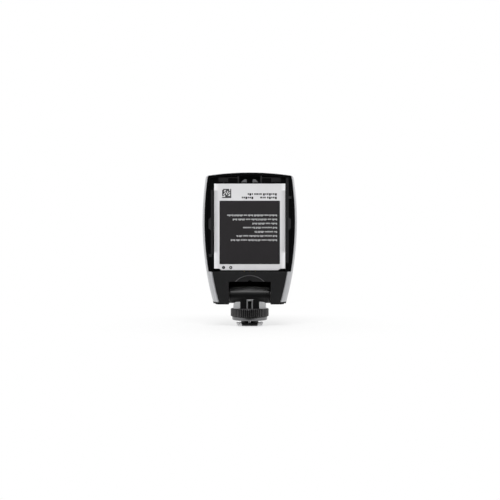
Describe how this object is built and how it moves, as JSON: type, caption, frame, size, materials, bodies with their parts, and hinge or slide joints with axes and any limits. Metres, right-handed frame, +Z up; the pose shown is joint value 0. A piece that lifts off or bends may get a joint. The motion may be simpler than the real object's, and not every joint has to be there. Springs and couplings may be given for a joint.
{
  "type": "wireless flash trigger",
  "caption": "Wireless flash trigger: shield-shaped silver and black radio head with a battery bay, tilting on a hinge over a knurled lock wheel and accessory-shoe foot.",
  "frame": {"origin": "centre of the foot's sole, where it rests in the accessory shoe", "axes": "+Z up through the lock wheel to the head's crown, -Y the battery side, +Y the display side, X along the tilt hinge"},
  "size_m": [0.0666, 0.0266, 0.1077],
  "materials": {
    "battery_case": "satin foil wrap",
    "black_plastic": "fine moulded satin black",
    "board": "solder mask",
    "brass": "turned",
    "catch_grey": "satin grey",
    "ceramic": "ceramic",
    "contact_plastic": "smooth matte black",
    "cover_plastic": "spark-textured dark grey",
    "display": "reflective glass cell",
    "foot_metal": "fine brushed, bright",
    "gloss_black": "glossy black",
    "gold": "gold plated",
    "lamp_green": "translucent",
    "red_key": "satin red",
    "rubber": "matt",
    "silver_shell": "satin metallic silver paint on plastic",
    "steel": "machined",
    "wheel_dark": "dark anodised, ribbed"
  },
  "bodies": {
    "foot": {"foot_plate": "foot_metal", "contact_block": "contact_plastic", "foot_screws": "steel", "hinge_barrel": "black_plastic", "barrel_cap": "black_plastic", "neck_bracket": "foot_metal", "hinge_shaft": "steel", "friction_washers": "steel", "shaft_clips": "steel"},
    "shoe_pins": {"shoe_contact_pins": "gold"},
    "clamp": {"clamp_washer": "steel", "lock_pin_yoke": "steel"},
    "wheel": {"lock_wheel": "wheel_dark"},
    "head": {"front_shell": "silver_shell", "rear_housing": "black_plastic", "door_catches": "catch_grey", "hinge_cover": "cover_plastic", "hinge_cradle": "black_plastic", "hinge_bushes": "brass", "display_lens": "gloss_black", "lcd_module": "display", "main_board": "board", "radio_can": "steel", "buzzer": "contact_plastic", "antenna": "ceramic", "key_board": "board", "key_domes": "rubber", "dial_encoder": "contact_plastic", "status_light": "lamp_green", "switch_body": "contact_plastic", "sync_jack": "contact_plastic", "usb_port": "steel", "terminal_block": "contact_plastic", "case_screws": "steel"},
    "contacts": {"battery_contacts": "gold"},
    "battery": {"battery_pack": "battery_case", "battery_pads": "gold"},
    "dial": {"select_dial": "black_plastic"},
    "set_key": {"set_button": "gloss_black"},
    "menu_key": {"menu_button": "rubber"},
    "mode_key": {"mode_button": "rubber"},
    "test_key": {"test_button": "red_key"},
    "light_key": {"light_button": "rubber"},
    "switch_knob": {"power_switch": "black_plastic"}
  },
  "joints": [
    {"name": "tilt", "type": "hinge", "parent": "foot", "child": "head", "pos_m": [0, 0, 0.0212], "axis": [1, 0, 0], "range_deg": [0, 90]},
    {"name": "clamp_slide", "type": "slide", "parent": "foot", "child": "clamp", "axis": [0, 0, -1], "range_m": [0, 0.00137]},
    {"name": "wheel_turn", "type": "hinge", "parent": "clamp", "child": "wheel", "pos_m": [0, 0, 0.0085], "axis": [0, 0, -1], "range_deg": [0, 330]},
    {"name": "shoe_pin_press", "type": "slide", "parent": "foot", "child": "shoe_pins", "axis": [0, 0, 1], "range_m": [0, 0.00045], "stiffness_N_per_m": 1200, "springref_m": -0.0005},
    {"name": "battery_out", "type": "slide", "parent": "head", "child": "battery", "axis": [0, -1, 0], "range_m": [0, 0.02]},
    {"name": "battery_contact_press", "type": "slide", "parent": "head", "child": "contacts", "axis": [0, 0, -1], "range_m": [0, 0.0008], "stiffness_N_per_m": 300, "springref_m": -0.0005},
    {"name": "dial_turn", "type": "hinge", "parent": "head", "child": "dial", "pos_m": [0, 0.01, 0.044], "axis": [0, 1, 0], "continuous": true},
    {"name": "set_press", "type": "slide", "parent": "head", "child": "set_key", "axis": [0, -1, 0], "range_m": [0, 0.0006], "stiffness_N_per_m": 900, "springref_m": -0.0005},
    {"name": "menu_press", "type": "slide", "parent": "head", "child": "menu_key", "axis": [0, -1, 0], "range_m": [0, 0.0006], "stiffness_N_per_m": 900, "springref_m": -0.0005},
    {"name": "mode_press", "type": "slide", "parent": "head", "child": "mode_key", "axis": [0, -1, 0], "range_m": [0, 0.0006], "stiffness_N_per_m": 900, "springref_m": -0.0005},
    {"name": "test_press", "type": "slide", "parent": "head", "child": "test_key", "axis": [0, -1, 0], "range_m": [0, 0.0006], "stiffness_N_per_m": 900, "springref_m": -0.0005},
    {"name": "light_press", "type": "slide", "parent": "head", "child": "light_key", "axis": [0, -1, 0], "range_m": [0, 0.0006], "stiffness_N_per_m": 900, "springref_m": -0.0005},
    {"name": "power_slide", "type": "slide", "parent": "head", "child": "switch_knob", "axis": [0, 0, 1], "range_m": [0, 0.003]}
  ],
  "couplings": [
    {"joint": "wheel_turn", "follows": "clamp_slide", "rad_per_m": 4188.8}
  ]
}
